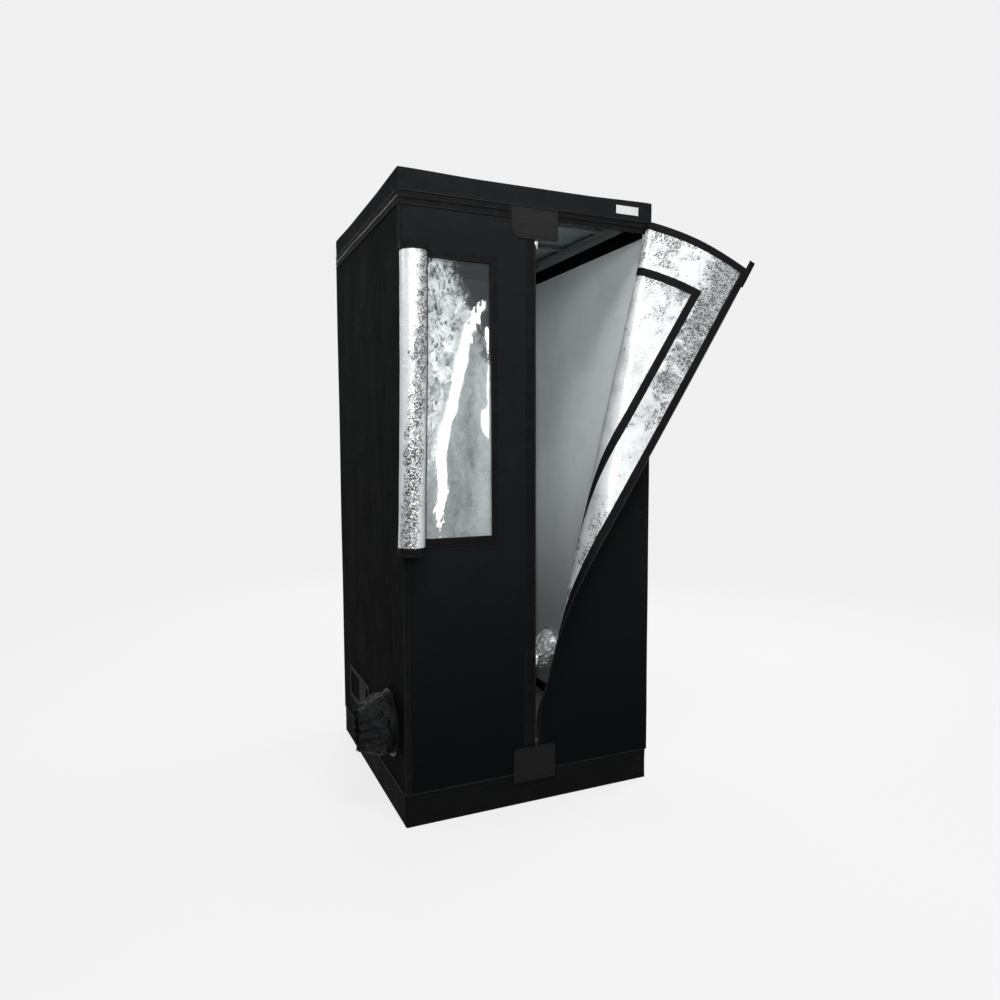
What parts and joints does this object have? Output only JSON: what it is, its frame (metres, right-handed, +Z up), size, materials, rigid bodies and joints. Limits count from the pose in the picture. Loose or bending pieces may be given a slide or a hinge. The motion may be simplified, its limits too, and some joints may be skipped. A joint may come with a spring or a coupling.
{
  "type": "indoor grow tent",
  "caption": "Free-standing square grow tent: tube frame in a black cover, silver inside, zipped door with one leaf folded out, side window and duct ports.",
  "frame": {"origin": "middle of the square base, on the floor", "axes": "+Z up, +Y from the door to the back wall, +X to the right of someone facing the door"},
  "size_m": [1.1833, 1.0532, 1.8],
  "materials": {
    "outer_fabric": "black coated woven polyester, matt",
    "leaf_fabric": "black coated woven polyester outside, silver foil inside",
    "lining": "embossed silver foil on cloth",
    "webbing": "black woven tape, matt",
    "piping": "black corded piping",
    "window_film": "clear soft film, glossy and crinkled",
    "tube_paint": "white coating, satin",
    "connector_plastic": "black moulded plastic",
    "zip_coil": "black coil",
    "zip_metal": "bright plated",
    "vent_net": "dark grey net",
    "tray_film": "silver film on cloth"
  },
  "bodies": {
    "tent": {"base_panel": "outer_fabric", "bottom_band": "outer_fabric", "cap_piping": "piping", "corner_bottom_back_left": "connector_plastic", "corner_bottom_back_right": "connector_plastic", "corner_bottom_front_left": "connector_plastic", "corner_bottom_front_right": "connector_plastic", "corner_top_back_left": "connector_plastic", "corner_top_back_right": "connector_plastic", "corner_top_front_left": "connector_plastic", "corner_top_front_right": "connector_plastic", "door_left": "leaf_fabric", "door_right_lower": "leaf_fabric", "door_right_roll": "leaf_fabric", "floor_tray": "tray_film", "post_lower_back_left": "tube_paint", "post_lower_back_right": "tube_paint", "post_lower_front_left": "tube_paint", "post_lower_front_right": "tube_paint", "post_upper_back_left": "tube_paint", "post_upper_back_right": "tube_paint", "post_upper_front_left": "tube_paint", "post_upper_front_right": "tube_paint", "rail_bottom_back": "tube_paint", "rail_bottom_front": "tube_paint", "rail_bottom_left": "tube_paint", "rail_bottom_right": "tube_paint", "rail_top_back": "tube_paint", "rail_top_front": "tube_paint", "rail_top_left": "tube_paint", "rail_top_right": "tube_paint", "roof_cap": "outer_fabric", "seam_binding": "webbing", "sock_back": "outer_fabric", "sock_left": "outer_fabric", "sock_right": "lining", "vent_frame": "webbing", "vent_net": "vent_net", "wall_back": "outer_fabric", "wall_left": "outer_fabric", "wall_right": "outer_fabric", "window_left_film": "window_film", "window_left_frame": "webbing", "window_left_roll": "lining", "window_right_cover": "leaf_fabric", "window_right_frame": "webbing", "zip_coil_left": "zip_coil"},
    "door_flap": {"door_right_binding": "webbing", "door_right_flap": "leaf_fabric", "window_right_frame_flap": "webbing"},
    "top_zip_flap": {"zip_flap_top": "outer_fabric"},
    "bottom_zip_flap": {"zip_flap_bottom": "outer_fabric"},
    "upper_slider": {"zip_slider_upper": "zip_metal"},
    "upper_pull": {"zip_pull_upper": "zip_metal"},
    "lower_slider": {"zip_slider_lower": "zip_metal"},
    "lower_pull": {"zip_pull_lower": "zip_metal"},
    "front_bar": {"hanging_bar_front": "tube_paint"},
    "rear_bar": {"hanging_bar_rear": "tube_paint"}
  },
  "joints": [
    {"name": "door_flap_fold", "type": "hinge", "parent": "tent", "child": "door_flap", "pos_m": [0.23175, -0.4626, 0.96985], "axis": [0.2026, 0.0649, 0.9771], "range_deg": [-145, 15], "deforming": ["door_right_roll"]},
    {"name": "top_zip_flap_lift", "type": "hinge", "parent": "tent", "child": "top_zip_flap", "pos_m": [0, -0.40135, 1.74165], "axis": [-1, 0, 0], "range_deg": [0, 105]},
    {"name": "bottom_zip_flap_drop", "type": "hinge", "parent": "tent", "child": "bottom_zip_flap", "pos_m": [0, -0.40135, 0.06975], "axis": [1, 0, 0], "range_deg": [0, 120]},
    {"name": "upper_slider_slide", "type": "slide", "parent": "tent", "child": "upper_slider", "axis": [0, 0, 1], "range_m": [-1.35, 0]},
    {"name": "upper_pull_swing", "type": "hinge", "parent": "upper_slider", "child": "upper_pull", "pos_m": [0.006, -0.4044, 1.64575], "axis": [-1, 0, 0], "range_deg": [-8, 150]},
    {"name": "lower_slider_slide", "type": "slide", "parent": "tent", "child": "lower_slider", "axis": [0, 0, 1], "range_m": [0, 0.02]},
    {"name": "lower_pull_swing", "type": "hinge", "parent": "lower_slider", "child": "lower_pull", "pos_m": [0.006, -0.3941, 0.18975], "axis": [1, 0, 0], "range_deg": [-8, 150]},
    {"name": "front_bar_shift", "type": "slide", "parent": "tent", "child": "front_bar", "axis": [0, 1, 0], "range_m": [-0.2, 0.1]},
    {"name": "rear_bar_shift", "type": "slide", "parent": "tent", "child": "rear_bar", "axis": [0, 1, 0], "range_m": [-0.1, 0.2]}
  ]
}
